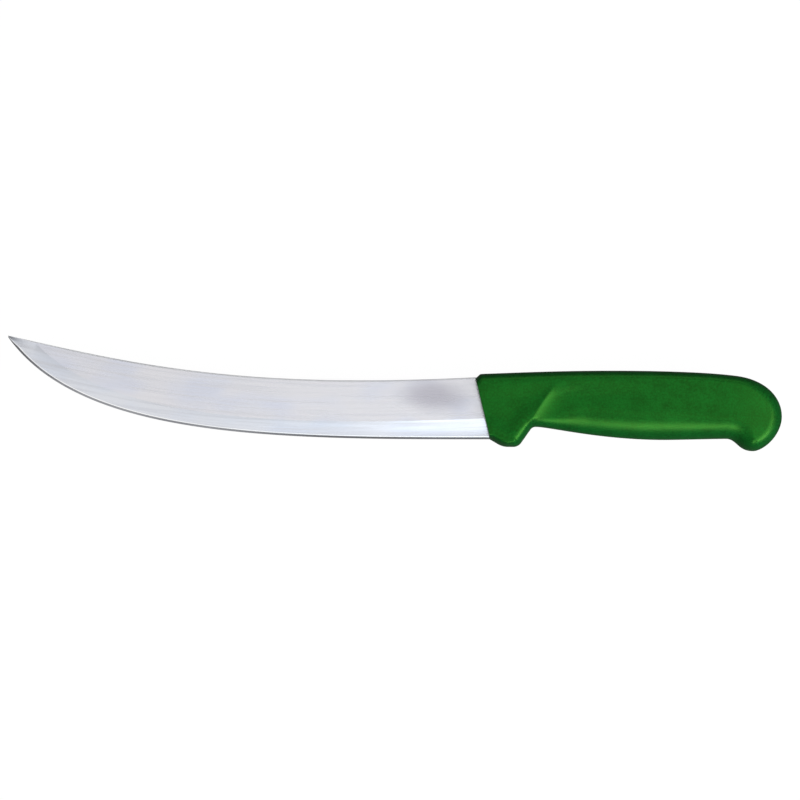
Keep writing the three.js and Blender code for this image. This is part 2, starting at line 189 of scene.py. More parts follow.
class Path:
    """A flat line through closely spaced points, measured along its length."""

    STEPS = 400
    STRIDE = 1e-3
    COARSE = 3

    def __init__(self, points: np.ndarray) -> None:
        """Measures the line.

        Args:
            points: the points that it goes through.
        """
        self.points = points
        steps = np.linalg.norm(np.diff(points, axis=0), axis=1)
        self.lengths = np.concatenate([[0], np.cumsum(steps)])

    @classmethod
    def curve(cls, *segments: list[np.ndarray]) -> "Path":
        """Samples Bezier segments.

        Each segment's points are its control points weighted by the Bernstein polynomials.

        Args:
            segments: the control points of each segment, which starts where the last one ended.

        Returns:
            The line through all the samples.
        """
        share = np.linspace(0, 1, cls.STEPS)[:, None]
        runs = []
        for controls in segments:
            degree = len(controls) - 1
            power = np.arange(degree + 1)
            binomial = np.array([math.comb(degree, k) for k in power])
            weights = binomial * share ** power * (1 - share) ** (degree - power)
            run = weights @ np.array(controls)
            runs.append(run if not runs else run[1:])
        return cls(np.concatenate(runs))

    @property
    def length(self) -> float:
        """Gives the whole length."""
        return float(self.lengths[-1])

    def at(self, share: np.ndarray) -> np.ndarray:
        """Gives points at shares of the length.

        Args:
            share: shares from 0 to 1.

        Returns:
            One point for each share.
        """
        along = np.asarray(share) * self.length
        return np.stack([np.interp(along, self.lengths, self.points[:, k]) for k in (0, 1)], axis=-1)

    def direction(self, share: np.ndarray) -> np.ndarray:
        """Gives unit vectors along the line, from points a little before and after each share."""
        step = self.at(np.minimum(share + self.STRIDE, 1)) - self.at(np.maximum(share - self.STRIDE, 0))
        return step / np.linalg.norm(step, axis=-1, keepdims=True)

    def share_at(self, x: float) -> float:
        """Gives the share of the length at which a line whose x only grows reaches x."""
        return float(np.interp(x, self.points[:, 0], self.lengths) / self.length)

    def nearest(self, points: np.ndarray) -> tuple[np.ndarray, np.ndarray]:
        """Gives the least distance from points to the line, and where it is met.

        The nearest sample is found first, then the foot of the perpendicular on the short
        stretches round it.

        Args:
            points: an array of flat points.

        Returns:
            One distance for each point, and the share of the length at the nearest place.
        """
        flat = points.reshape(-1, 2)
        coarse = self.points[::self.COARSE]
        square = (coarse ** 2).sum(1) - 2 * flat @ coarse.T
        near = self.COARSE * np.argmin(square, axis=1)
        least = np.full(len(flat), np.inf)
        place = np.zeros(len(flat))
        for offset in range(-self.COARSE, self.COARSE):
            first = np.clip(near + offset, 0, len(self.points) - 2)
            start = self.points[first]
            along = self.points[first + 1] - start
            share = np.clip(((flat - start) * along).sum(1) / (along ** 2).sum(1), 0, 1)
            distance = np.linalg.norm(flat - start - share[:, None] * along, axis=1)
            step = self.lengths[first + 1] - self.lengths[first]
            place = np.where(distance < least, (self.lengths[first] + share * step) / self.length, place)
            least = np.minimum(least, distance)
        return least.reshape(points.shape[:-1]), place.reshape(points.shape[:-1])


@dataclass
class Skin:
    """A closed surface from rows of points on its upper half, mirrored below the middle plane.

    Rows run along +X and the points in a row along +Y. The first and last point of every row lie
    on the middle plane, where both halves meet.
    """

    upper: np.ndarray
    grind: np.ndarray | None = None
    zones: np.ndarray | None = None

    def ring(self, grid: np.ndarray, mirror: bool) -> np.ndarray:
        """Runs each row on round the lower half.

        Args:
            grid: values at the points of the upper half.
            mirror: whether the third value changes its sign below.

        Returns:
            The values round the whole ring.
        """
        lower = grid[:, -2:0:-1].copy()
        if mirror:
            lower[..., 2] *= -1
        return np.concatenate([grid, lower], axis=1)

    def mesh(self, name: str, weld: float = 1e-4) -> bpy.types.Mesh:
        """Makes the mesh, in metres.

        Quads between neighbouring rows are split in two, points that coincide are welded and
        triangles that this empties are dropped.

        Args:
            name: the mesh's name.
            weld: distance in millimetres under which points coincide.

        Returns:
            The mesh, with smooth faces.
        """
        rings = self.ring(self.upper, True)
        rows, columns = rings.shape[:2]
        index = np.arange(rows * columns).reshape(rows, columns)
        after = np.roll(index, -1, axis=1)
        a, b, c, d = index[:-1], index[1:], after[1:], after[:-1]
        triangles = np.concatenate([
            np.stack([a, b, c], axis=-1).reshape(-1, 3), np.stack([a, c, d], axis=-1).reshape(-1, 3)])
        points = rings.reshape(-1, 3)
        _, first, merged = np.unique(
            np.round(points / weld).astype(np.int64), axis=0, return_index=True, return_inverse=True)
        corners = merged.reshape(-1)[triangles]
        x, y, z = corners.T
        kept = (x != y) & (y != z) & (z != x)
        corners = corners[kept]
        mesh = bpy.data.meshes.new(name)
        mesh.vertices.add(len(first))
        mesh.vertices.foreach_set("co", DATUM.place(points[first]).astype(np.float32).ravel())
        mesh.loops.add(corners.size)
        mesh.loops.foreach_set("vertex_index", corners.astype(np.int32).ravel())
        mesh.polygons.add(len(corners))
        mesh.polygons.foreach_set("loop_start", np.arange(0, corners.size, 3, dtype=np.int32))
        mesh.polygons.foreach_set("use_smooth", np.ones(len(corners), dtype=bool))
        if self.zones is not None:
            zone = np.concatenate([self.zones, self.zones[::-1]])
            spread = np.tile(np.broadcast_to(zone, (rows - 1, columns)).ravel(), 2)
            mesh.polygons.foreach_set("material_index", spread[kept].astype(np.int32))
        if self.grind is not None:
            layer = mesh.uv_layers.new(name="grind")
            places = self.ring(self.grind, False).reshape(-1, 2)[first]
            layer.data.foreach_set("uv", places[corners.ravel()].astype(np.float32).ravel())
        mesh.update(calc_edges=True)
        mesh.validate()
        if self.zones is not None:
            self.crisp(mesh)
        return mesh

    def crisp(self, mesh: bpy.types.Mesh, angle: float = 40.0) -> None:
        """Makes the edges between two zones, and those sharper than an angle, sharp.

        Args:
            mesh: the mesh, with its zones as material indices.
            angle: in degrees.
        """
        mesh.set_sharp_from_angle(angle=math.radians(angle))
        count = len(mesh.edges)
        sharp = np.zeros(count, dtype=bool)
        mesh.attributes["sharp_edge"].data.foreach_get("value", sharp)
        edges = np.zeros(len(mesh.loops), dtype=np.int32)
        mesh.loops.foreach_get("edge_index", edges)
        zones = np.zeros(len(mesh.polygons), dtype=np.int32)
        mesh.polygons.foreach_get("material_index", zones)
        corners = np.repeat(zones, 3)
        lowest, highest = np.full(count, zones.max()), np.zeros(count, dtype=np.int32)
        np.minimum.at(lowest, edges, corners)
        np.maximum.at(highest, edges, corners)
        mesh.attributes["sharp_edge"].data.foreach_set("value", sharp | (lowest != highest))


@dataclass(frozen=True)
class Datum:
    """The place that sizes are measured from, in metres in the frame.

    It is where the cutting edge meets the handle, level with the straight stretch of the edge and
    in the blade's middle plane.
    """

    origin: Vector

    def place(self, points: np.ndarray) -> np.ndarray:
        """Moves points in millimetres from the datum into the frame."""
        return points * MM + np.array(self.origin)


@dataclass(frozen=True)
class GroundSteel:
    """Stainless sheet, ground and brushed along the blade.

    Fine grooves run one way, so light spreads across them into a satin sheen, with faint streaks
    along the blade and soft clouds, some of them cooler, where the belt pressed more or less. A
    darker patch near the handle is a painted dark reflection.
    """

    name: str
    colour: str
    cool: str
    shade: str
    roughness: float
    anisotropy: float
    streak_width: float = 1.3
    streak_length: float = 45.0
    streak_detail: float = 3.0
    cloud_size: float = 14.0
    cloud_detail: float = 2.0
    groove_depth: float = 0.002
    painted_reflection: str = "BFBDC5"
    painted_reflection_place: tuple[float, float] = (-24.0, 18.8)
    painted_reflection_reach: tuple[float, float] = (21.0, 10.0)
    painted_reflection_range: tuple[float, float] = (0.45, 1.35)
    painted_reflection_raggedness: float = 0.9
    cloud_stretch: float = 0.45
    cloud_range: tuple[float, float] = (0.42, 0.68)
    streak_range: tuple[float, float] = (0.45, 0.75)
    noise_range: tuple[float, float] = (0.3, 0.7)
    roughness_spread: float = 0.03
    groove_strength: float = 0.25
    quarter_turn: float = 0.25

    def material(self) -> bpy.types.Material:
        """Makes the material.

        Returns:
            A metal whose colour and roughness follow streaks along the grind and larger clouds,
            with one darker patch near the handle, a painted dark reflection. The streaks are drawn
            about ten times as wide as the real grooves, so that they show.
        """
        material = new_material(self.name)
        tree = material.node_tree
        place = add_node(tree, "TexCoord").outputs
        size = (1 / self.streak_length, 1 / self.streak_width, 1)
        streaks = add_node(tree, "TexNoise", {"noise_dimensions": "2D"}, {
            "Scale": 1, "Detail": self.streak_detail}, {
            "Vector": add_node(tree, "Mapping", None, {"Scale": size}, {
                "Vector": place[Along.GRIND.value]}).outputs[0]}).outputs["Fac"]
        clouds = add_node(tree, "TexNoise", None, {
            "Scale": 1 / (self.cloud_size * MM), "Detail": self.cloud_detail}, {
            "Vector": add_node(tree, "Mapping", None, {"Scale": (self.cloud_stretch, 1, 1)}, {
                "Vector": place[Along.PIECE.value]}).outputs[0]}).outputs["Fac"]
        tinted = add_node(tree, "Mix", {"data_type": "RGBA"}, {
            MIX_FIRST: linear(self.colour), MIX_SECOND: linear(self.cool)}, {
            MIX_SHARE: ranged(tree, clouds, self.cloud_range, easing=Easing.SMOOTH)}).outputs[MIXED]
        brushed = add_node(tree, "Mix", {"data_type": "RGBA"}, {MIX_SECOND: linear(self.shade)}, {
            MIX_SHARE: ranged(tree, streaks, self.streak_range), MIX_FIRST: tinted}).outputs[MIXED]
        # painted dark reflection: a ragged darker patch near the handle, mixed into the colour
        grow = 1 / (np.array([*self.painted_reflection_reach, self.painted_reflection_reach[1]]) * MM)
        middle = DATUM.place(np.array([*self.painted_reflection_place, 0.0]))
        painted_reflection_spot = add_node(tree, "TexGradient", {"gradient_type": "SPHERICAL"}, None, {
            "Vector": add_node(tree, "Mapping", None, {
                "Location": (-middle * grow).tolist(), "Scale": grow.tolist()}, {
                "Vector": place[Along.PIECE.value]}).outputs[0]}).outputs["Fac"]
        ragged = add_node(tree, "Math", {"operation": "MULTIPLY_ADD"}, {1: self.painted_reflection_raggedness}, {
            0: clouds, 2: painted_reflection_spot}).outputs[0]
        painted_reflection_mask = ranged(tree, ragged, self.painted_reflection_range, easing=Easing.SMOOTH)
        colour = add_node(tree, "Mix", {"data_type": "RGBA"}, {MIX_SECOND: linear(self.painted_reflection)}, {
            MIX_SHARE: painted_reflection_mask, MIX_FIRST: brushed}).outputs[MIXED]
        rough = ranged(tree, streaks, self.noise_range, (
            self.roughness - self.roughness_spread, self.roughness + self.roughness_spread))
        bump = add_node(tree, "Bump", None, {
            "Strength": self.groove_strength, "Distance": self.groove_depth * MM}, {
            "Height": streaks}).outputs[0]
        tangent = add_node(tree, "Tangent", {"direction_type": "UV_MAP", "uv_map": "grind"}).outputs[0]
        shader = add_node(tree, "BsdfPrincipled", None, {
            "Metallic": 1.0, "Anisotropic": self.anisotropy,
            "Anisotropic Rotation": self.quarter_turn}, {
            "Base Color": colour, "Roughness": rough, "Normal": bump, "Tangent": tangent})
        add_node(tree, "OutputMaterial", None, None, {"Surface": shader.outputs[0]})
        return material


@dataclass(frozen=True)
class MouldedPolypropylene:
    """Green polypropylene, moulded in a spark eroded tool.

    The tool leaves a fine pebble grain that breaks the gloss up, and the pigment is deep enough
    that only the lit rims turn yellow green.
    """

    name: str = "green polypropylene, moulded"
    colour: str = "034E19"
    deep: str = "01370F"
    roughness: float = 0.37
    pebble: float = 0.7
    pebble_detail: float = 1.5
    mottle: float = 7.0
    mottle_detail: float = 3.0
    pebble_height: float = 0.03
    pebble_strength: float = 0.5
    mottle_weight: float = 0.6
    pigment_range: tuple[float, float] = (0.6, 1.0)
    noise_range: tuple[float, float] = (0.3, 0.7)
    smoother: float = 0.04
    rougher: float = 0.06
    refraction: float = 1.5
    gloss_tint: tuple[float, float, float, float] = (0.24, 1.0, 0.10, 1.0)

    def material(self) -> bpy.types.Material:
        """Makes the material.

        Returns:
            A pigmented plastic with pebbles about two picture points wide, coarser than the real
            grain so that they show, and a faint mottle.
        """
        material = new_material(self.name)
        tree = material.node_tree
        place = add_node(tree, "TexCoord").outputs[Along.PIECE.value]
        pebbles = add_node(tree, "TexNoise", None, {
            "Scale": 1 / (self.pebble * MM), "Detail": self.pebble_detail}, {
            "Vector": place}).outputs["Fac"]
        mottle = add_node(tree, "TexNoise", None, {
            "Scale": 1 / (self.mottle * MM), "Detail": self.mottle_detail}, {
            "Vector": place}).outputs["Fac"]
        both = add_node(tree, "Math", {"operation": "MULTIPLY_ADD"}, {1: self.mottle_weight}, {
            0: mottle, 2: pebbles}).outputs[0]
        colour = add_node(tree, "Mix", {"data_type": "RGBA"}, {
            MIX_FIRST: linear(self.deep), MIX_SECOND: linear(self.colour)}, {
            MIX_SHARE: ranged(tree, both, self.pigment_range)}).outputs[MIXED]
        rough = ranged(tree, pebbles, self.noise_range, (
            self.roughness - self.smoother, self.roughness + self.rougher))
        bump = add_node(tree, "Bump", None, {
            "Strength": self.pebble_strength, "Distance": self.pebble_height * MM}, {
            "Height": pebbles}).outputs[0]
        shader = add_node(tree, "BsdfPrincipled", None, {
            "IOR": self.refraction, "Specular Tint": self.gloss_tint}, {
            "Base Color": colour, "Roughness": rough, "Normal": bump})
        add_node(tree, "OutputMaterial", None, None, {"Surface": shader.outputs[0]})
        return material


@dataclass
class Fitted:
    """What both pieces share, in millimetres: the leaning front face that the blade comes out of."""

    heel_height: float = 26.65
    front_lean: float = 6.4

    def on_front(self, height: float) -> np.ndarray:
        """Gives the point at a height on the leaning line of the handle's front face."""
        return np.array([-self.front_lean * height / self.heel_height, height])


@dataclass
class Blade(Fitted):
    """The upswept blade, in millimetres from the datum, with its heel let into the handle.

    The widths of the bevel are those at heel, middle and tip. The honed edge is given by distances
    from the cutting edge and the half thickness at each. The shares called most keep the bevel,
    the honed edge and the round of the spine apart where the blade narrows to its tip.
    """

    length: float = 206.9
    tip_rise: float = 44.6
    tip_blunt: float = 0.8
    edge_heel_pull: float = 91
    edge_tip_pull: float = 54
    edge_tip_angle: float = 54.5
    spine_heel_pull: float = 98.5
    spine_heel_angle: float = 2.9
    spine_tip_pull: float = 58
    spine_tip_angle: float = 13
    stock: float = 1.8
    tip_stock: float = 0.8
    bevel_widths: tuple[float, float, float] = (9.0, 6.6, 8.0)
    bevel_hollow: float = 1.7
    honed: tuple[tuple[float, float], ...] = ((0.0, 0.03), (0.9, 0.245), (1.3, 0.27))
    spine_round: float = 0.65
    most_bevel: float = 0.92
    most_honed: float = 0.3
    most_round: float = 0.04
    heel_depth: float = 2.5
    rows: int = 320
    bevel_steps: int = 15
    flat_stations: tuple[float, ...] = (
        0.01, 0.03, 0.1, 0.2, 0.3, 0.4, 0.5, 0.6, 0.7, 0.8, 0.9, 0.97, 1.0)
    spine_turns: tuple[float, ...] = (11, 22, 34, 45)

    def edge(self) -> Path:
        """Gives the cutting edge: one cubic curve, level at the heel.

        Returns:
            The line from heel to tip.
        """
        heel = self.on_front(0)
        tip = np.array([-self.length, self.tip_rise - self.tip_blunt])
        return Path.curve([
            heel, reach(heel, -self.edge_heel_pull, 0),
            reach(tip, self.edge_tip_pull, -self.edge_tip_angle), tip])

    def spine(self) -> Path:
        """Gives the spine: one cubic curve that dips and then sweeps up.

        Returns:
            The line from heel to tip.
        """
        heel = self.on_front(self.heel_height)
        tip = np.array([-self.length, self.tip_rise])
        return Path.curve([
            heel, reach(heel, -self.spine_heel_pull, self.spine_heel_angle),
            reach(tip, self.spine_tip_pull, -self.spine_tip_angle), tip])

    def bevel_width(self, share: np.ndarray) -> np.ndarray:
        """Gives the bevel's width: a parabola through those at heel, middle and tip.

        Args:
            share: shares of the length from heel to tip.

        Returns:
            One width for each share.
        """
        heel, middle, tip = self.bevel_widths
        control = 2 * middle - (heel + tip) / 2
        return (1 - share) ** 2 * heel + 2 * share * (1 - share) * control + share ** 2 * tip

    def section(self, share: np.ndarray, height: np.ndarray,
                depth: np.ndarray) -> tuple[np.ndarray, np.ndarray, np.ndarray]:
        """Works out half of the blade's section at each row.

        The half thickness climbs the honed edge, then the hollow bevel as a power of the distance
        from the edge, stays level on the flat, and drops along an eighth of a circle at the spine.

        Args:
            share: the rows' shares of the length from heel to tip.
            height: the rows' lengths from edge to spine.
            depth: the blade's depth at the rows, square to the edge.

        Returns:
            Stations as shares of the row and half thicknesses there, both by row and station, and
            the zone between each station and the next.
        """
        half = (self.stock + (self.tip_stock - self.stock) * share) / 2
        honed_width, honed_half = self.honed[-1]
        honed_half = honed_half * half / half.max()
        honed = np.minimum(honed_width / depth, self.most_honed)
        bevel = np.minimum(self.bevel_width(share) / depth, self.most_bevel)
        rounded = np.minimum(self.spine_round / height, self.most_round)

        stations, halves, zones = [np.zeros_like(share)], [np.zeros_like(share)], []
        for distance, thickness in self.honed:
            stations.append(honed * distance / honed_width)
            halves.append(thickness * half / half.max())
            zones.append(Zone.EDGE.value)
        zones[-1] = Zone.LINE.value
        for q in np.linspace(0, 1, self.bevel_steps + 1)[1:]:
            stations.append(honed + (bevel - honed) * q)
            halves.append(honed_half + (half - honed_half) * q ** self.bevel_hollow)
            zones.append(Zone.BEVEL.value)
        flat_end = 1 - rounded
        for q in self.flat_stations:
            stations.append(bevel + (flat_end - bevel) * q)
            halves.append(half)
            zones.append(Zone.FLAT.value)
        for turn in np.radians(self.spine_turns):
            stations.append(flat_end + rounded * math.sin(turn) / math.sin(math.pi / 4))
            halves.append(half - rounded * height * (1 - math.cos(turn)) / math.sin(math.pi / 4))
            zones.append(Zone.SPINE.value)
        stations.append(np.ones_like(share))
        halves.append(np.zeros_like(share))
        zones.append(Zone.SPINE.value)
        return np.stack(stations, axis=1), np.stack(halves, axis=1), np.array(zones)

    def surface(self) -> Skin:
        """Works out the blade's surface.

        A row goes straight from the edge to the spine at the same share of both lines.

        Returns:
            The skin, with the grind laid out in millimetres along the blade and down from the
            spine.
        """
        share = np.linspace(1, 0, self.rows)
        edge, spine = self.edge(), self.spine()
        low, high = edge.at(share), spine.at(share)
        across = high - low
        height = np.linalg.norm(across, axis=1)
        across /= height[:, None]
        tangent = edge.direction(share)
        depth = height * np.abs(across[:, 0] * tangent[:, 1] - across[:, 1] * tangent[:, 0])
        station, thickness, zones = self.section(share, height, depth)

        run = station * height[:, None]
        flat = low[:, None] + across[:, None] * run[..., None]
        upper = np.concatenate([flat, thickness[..., None]], axis=2)
        heel = upper[-1:] + np.array([self.heel_depth, 0, 0])
        grind = np.stack([
            np.broadcast_to((share * edge.length)[:, None], run.shape), height[:, None] - run], axis=2)
        grind_heel = grind[-1:] - np.array([self.heel_depth, 0])
        closed = np.concatenate([upper, heel, heel * np.array([1, 1, 0])])
        tip = upper[:1] * np.array([1, 1, 0])
        return Skin(np.concatenate([tip, closed]),
                    np.concatenate([grind[:1], grind, grind_heel, grind_heel]), zones)

    def build(self) -> bpy.types.Object:
        """Makes the blade and dresses it.

        Returns:
            The finished piece.
        """
        piece = bpy.data.objects.new("blade_ground", self.surface().mesh("blade_ground"))
        # one finish for each zone, in the zones' order
        satin = GroundSteel("stainless steel, satin ground", "E2E1E5", "DADDE9", "DCDCE1", 0.26, 0.5)
        bevel = GroundSteel("stainless steel, ground bevel", "DFE1E7", "D9DEE9", "D9DBE2", 0.24, 0.5)
        # the honed edge's colour is painted darker, a painted shade line along the cutting edge
        edge = GroundSteel("stainless steel, honed edge, painted shade line", "9A9B9F", "96989D", "909196", 0.16, 0.2)
        spine = GroundSteel("stainless steel, sheared spine", "D0D1D4", "CBCDD2", "C4C5C8", 0.45, 0.3)
        # the polished line is a real facet that catches light, and its colour is also painted lighter, a
        # painted highlight
        line = GroundSteel("stainless steel, polished line, painted highlight", "FAFAFB", "F6F8FB", "F4F5F7", 0.2, 0.3)
        for finish in (satin, bevel, edge, spine, line):
            piece.data.materials.append(finish.material())
        return piece


@dataclass
class Handle(Fitted):
    """The moulded handle, in millimetres from the datum.

    It is finer than the solid: the rim along the back is squarer, the one at the end is tighter,
    and a dip lies in front of the ridge. The beak drops a hair less, which keeps the finer curve
    inside the solid's box.
    """

    RIDGE_LINE = 1

    length: float = 125.4
    thickness: float = 22.0
    front_top: float = 25.8
    guard_drop: float = 3.3
    guard_chamfer: float = 5.6
    guard_toe: float = 2.5
    guard_foot_end: float = 12.3
    guard_corner: float = 2.2
    notch_start: float = 18.3
    notch_height: float = 5.3
    notch_corner: float = 1.6
    notch_pull: float = 6.0
    belly_drop: float = 0.3
    belly_from_end: float = 50.0
    belly_pull: float = 28.0
    neck_height: float = 0.15
    neck_from_end: float = 23.7
    neck_pull: float = 4.5
    beak_drop: float = 5.12
    beak_from_end: float = 12.2
    beak_pulls: tuple[float, float] = (6.5, 4.8)
    end_height: float = 9.8
    end_pulls: tuple[float, float] = (7.9, 8.8)
    crown_step: float = 1.5
    crown_step_length: float = 3.8
    crown_corner: float = 0.5
    crown_angle: float = 2.2
    crest_rise: float = 2.85
    crest_from_end: float = 73.0
    crest_pull: float = 20.0
    shoulder_drop: float = 2.25
    shoulder_from_end: float = 19.2
    shoulder_pull: float = 11.8
    shoulder_angle: float = 8.0
    guard_round: float = 2.6
    guard_round_end: float = 8.0
    finger_round: float = 5.0
    finger_round_start: float = 13.5
    notch_round: float = 4.5
    belly_round: float = 12.5
    belly_round_start: float = 42.0
    neck_round: float = 10.0
    beak_round: float = 6.0
    end_round: float = 6.4
    crown_round: float = 3.4
    foot_powers: tuple[float, ...] = (2.0, 3.0, 3.0, 2.0, 2.0, 2.0, 2.0, 3.0)
    crown_powers: tuple[float, float] = (5.0, 3.0)
    ridge_foot: float = 10.4
    ridge_crown: float = 31.9
    ridge_bow: float = 1.0
    ridge_soft: float = 0.05
    behind_ridge: float = 0.25
    scoop_depth: float = 2.0
    scoop_run: float = 11.0
    scoop_fade: tuple[float, float] = (4.0, 11.0)
    dip_depth: float = 0.8
    dip_run: float = 6.5
    dip_fade: tuple[float, float] = (5.0, 11.0)
    pommel_taper: float = 2.0
    front_round: float = 0.3
    seam: float = 0.08
    slot_room: float = 0.02
    slot_end_room: float = 0.05
    front_rows: int = 6
    first_row: float = 0.08
    rows: tuple[int, ...] = (50, 50, 60, 30, 90)
    columns: int = 140

    @property
    def notch_x(self) -> float:
        """Gives where the notch's round corner ends."""
        return self.notch_start + self.notch_corner

    @property
    def belly_x(self) -> float:
        """Gives where the belly is lowest."""
        return self.length - self.belly_from_end

    @property
    def neck_x(self) -> float:
        """Gives where the neck in front of the beak is highest."""
        return self.length - self.neck_from_end

    @property
    def beak_x(self) -> float:
        """Gives where the beak is lowest."""
        return self.length - self.beak_from_end

    def foot(self) -> Path:
        """Gives the underside: front face, guard, notch for the finger, belly, beak and end.

        Returns:
            The line from the cutting edge to the end of the handle.
        """
        front = self.on_front(0)
        slope = np.array([self.notch_start - self.guard_foot_end, self.notch_height + self.guard_drop])
        slope /= np.linalg.norm(slope)
        chamfer = np.array([self.guard_chamfer, -self.guard_drop])
        before_chamfer = chamfer * (1 - self.guard_toe / np.linalg.norm(chamfer))
        corner = np.array([self.guard_foot_end, -self.guard_drop])
        notch = np.array([self.notch_start, self.notch_height])
        along = np.array([1.0, 0.0])
        belly = np.array([self.belly_x, -self.belly_drop])
        neck = np.array([self.neck_x, self.neck_height])
        beak = np.array([self.beak_x, -self.beak_drop])
        end = np.array([self.length, self.end_height])
        before_corner = corner - self.guard_corner * along
        after_corner = corner + self.guard_corner * slope
        before_notch = notch - self.notch_corner * slope
        after_notch = notch + self.notch_corner * along
        return Path.curve(
            [front, before_chamfer], [before_chamfer, chamfer, chamfer + self.guard_toe * along],
            [chamfer + self.guard_toe * along, before_corner], [before_corner, corner, after_corner],
            [after_corner, before_notch], [before_notch, notch, after_notch],
            [after_notch, after_notch + self.notch_pull * along, belly - self.belly_pull * along, belly],
            [belly, belly + self.neck_pull * along, neck - self.neck_pull * along, neck],
            [neck, neck + self.neck_pull * along, beak - self.beak_pulls[0] * along, beak],
            [beak, beak + self.beak_pulls[1] * along, end - np.array([0, self.end_pulls[0]]), end])

    def crown(self) -> Path:
        """Gives the back: a round corner at the front face, the crest, the shoulder and the end.

        Returns:
            The line from the front face to the end of the handle.
        """
        front = self.on_front(self.front_top)
        step = np.array([front[0] + self.crown_step_length, self.heel_height + self.crown_step])
        crest = np.array([self.length - self.crest_from_end, self.heel_height + self.crest_rise])
        shoulder = np.array([self.length - self.shoulder_from_end, crest[1] - self.shoulder_drop])
        end = np.array([self.length, self.end_height])
        pull = np.array([self.crest_pull, 0.0])
        return Path.curve(
            [front, np.array([front[0] + self.crown_corner, step[1]]), step],
            [step, reach(step, self.crest_pull, self.crown_angle), crest - pull, crest],
            [crest, crest + pull, reach(shoulder, -self.shoulder_pull, -self.shoulder_angle), shoulder],
            [shoulder, reach(shoulder, self.shoulder_pull, -self.shoulder_angle),
             end + np.array([0, self.end_pulls[1]]), end])

    def flank(self, foot: np.ndarray, crown: np.ndarray, bow: np.ndarray) -> np.ndarray:
        """Spreads points across the flank.

        Each row is a quadratic curve from a point of the underside to one of the back, bowed
        towards the front, with points closer together towards the rims as a cosine.

        Args:
            foot: the rows' lower ends.
            crown: the rows' upper ends.
            bow: how far each row bows.

        Returns:
            The flat points, by row and column.
        """
        chord = crown - foot
        length = np.maximum(np.linalg.norm(chord, axis=1, keepdims=True), TINY)
        side = np.stack([-chord[:, 1], chord[:, 0]], axis=1) / length
        control = (foot + crown) / 2 + 2 * bow[:, None] * side
        v = ((1 - np.cos(np.linspace(0, math.pi, self.columns + 1))) / 2)[None, :, None]
        return (1 - v) ** 2 * foot[:, None] + 2 * v * (1 - v) * control[:, None] + v ** 2 * crown[:, None]

    def rim_rise(self, share: np.ndarray, power: np.ndarray) -> np.ndarray:
        """Rises from 0 at the rim to 1: a quarter ellipse for a power of 2, squarer for more."""
        return (1 - (1 - np.minimum(share, 1)) ** 2) ** (1 / power)

    def lines(self, foot: Path, crown: Path) -> np.ndarray:
        """Gives the lines across the flank that the rows of points are spread between.

        They are the front face, the ridge, a line from the notch that leads out of the scoop, the
        belly, the neck and the end.

        Args:
            foot: the underside.
            crown: the back.

        Returns:
            For each line, its shares of the underside and of the back, and its bow.
        """
        behind = self.ridge_crown * (1 - self.behind_ridge) + self.belly_x * self.behind_ridge
        return np.array([
            [0, 0, 0],
            [foot.share_at(self.ridge_foot), crown.share_at(self.ridge_crown), self.ridge_bow],
            [foot.share_at(self.notch_x), crown.share_at(behind), self.ridge_bow],
            [foot.share_at(self.belly_x), crown.share_at(self.belly_x), 0],
            [foot.share_at(self.neck_x), crown.share_at(self.neck_x), 0],
            [1, 1, 0]])

    def level(self, x: np.ndarray, from_ridge: np.ndarray, behind: np.ndarray,
              to_foot: np.ndarray, to_crown: np.ndarray) -> np.ndarray:
        """Gives the flank's height over the middle plane before its rims are rounded.

        It is half the thickness, less a scoop behind the ridge, which deepens as one less a cube,
        a dip in front of it, which is a distance times its falling exponential, and a taper at
        the pommel, which grows as a square.

        Args:
            x: how far along the handle each point is.
            from_ridge: its distance from the ridge.
            behind: whether its row lies behind the ridge.
            to_foot: its distance from the underside.
            to_crown: its distance from the back.

        Returns:
            One height for each point.
        """
        run = np.clip(from_ridge / self.scoop_run, 0, 1)
        run = np.sqrt(run ** 2 + self.ridge_soft ** 2) - self.ridge_soft
        ahead = from_ridge / self.dip_run
        dip = smoothstep(*self.dip_fade, to_foot) * self.dip_depth * ahead * np.exp(1 - ahead)
        fade = smoothstep(*self.scoop_fade, to_crown) * (1 - smoothstep(self.notch_x, self.belly_x, x))
        scoop = fade * np.where(behind, self.scoop_depth * (1 - (1 - run) ** 3), dip)
        taper = self.pommel_taper * (np.maximum(x - self.neck_x, 0) / self.neck_from_end) ** 2
        return self.thickness / 2 - scoop - taper

    def rims(self, foot: Path, crown: Path, below: tuple[np.ndarray, np.ndarray],
             above: tuple[np.ndarray, np.ndarray]) -> np.ndarray:
        """Gives the rise of the rounded rims, from 0 on the outline to 1 on the flank.

        Args:
            foot: the underside.
            crown: the back.
            below: the points' distances from the underside, and its shares nearest to them.
            above: the same for the back.

        Returns:
            The lesser rise at each point.
        """
        to_foot, foot_at = below
        to_crown, crown_at = above
        foot_places = [foot.share_at(x) for x in (
            self.guard_round_end, self.finger_round_start, self.notch_x, self.belly_round_start,
            self.belly_x, self.neck_x, self.beak_x, self.length)]
        foot_round = eased(foot_at, foot_places, [
            self.guard_round, self.finger_round, self.notch_round, self.belly_round, self.belly_round,
            self.neck_round, self.beak_round, self.end_round])
        crown_places = [crown.share_at(self.neck_x), 1]
        crown_round = eased(crown_at, crown_places, [self.crown_round, self.end_round])
        return np.minimum(
            self.rim_rise(to_foot / foot_round, eased(foot_at, foot_places, self.foot_powers)),
            self.rim_rise(to_crown / crown_round, eased(crown_at, crown_places, self.crown_powers)))

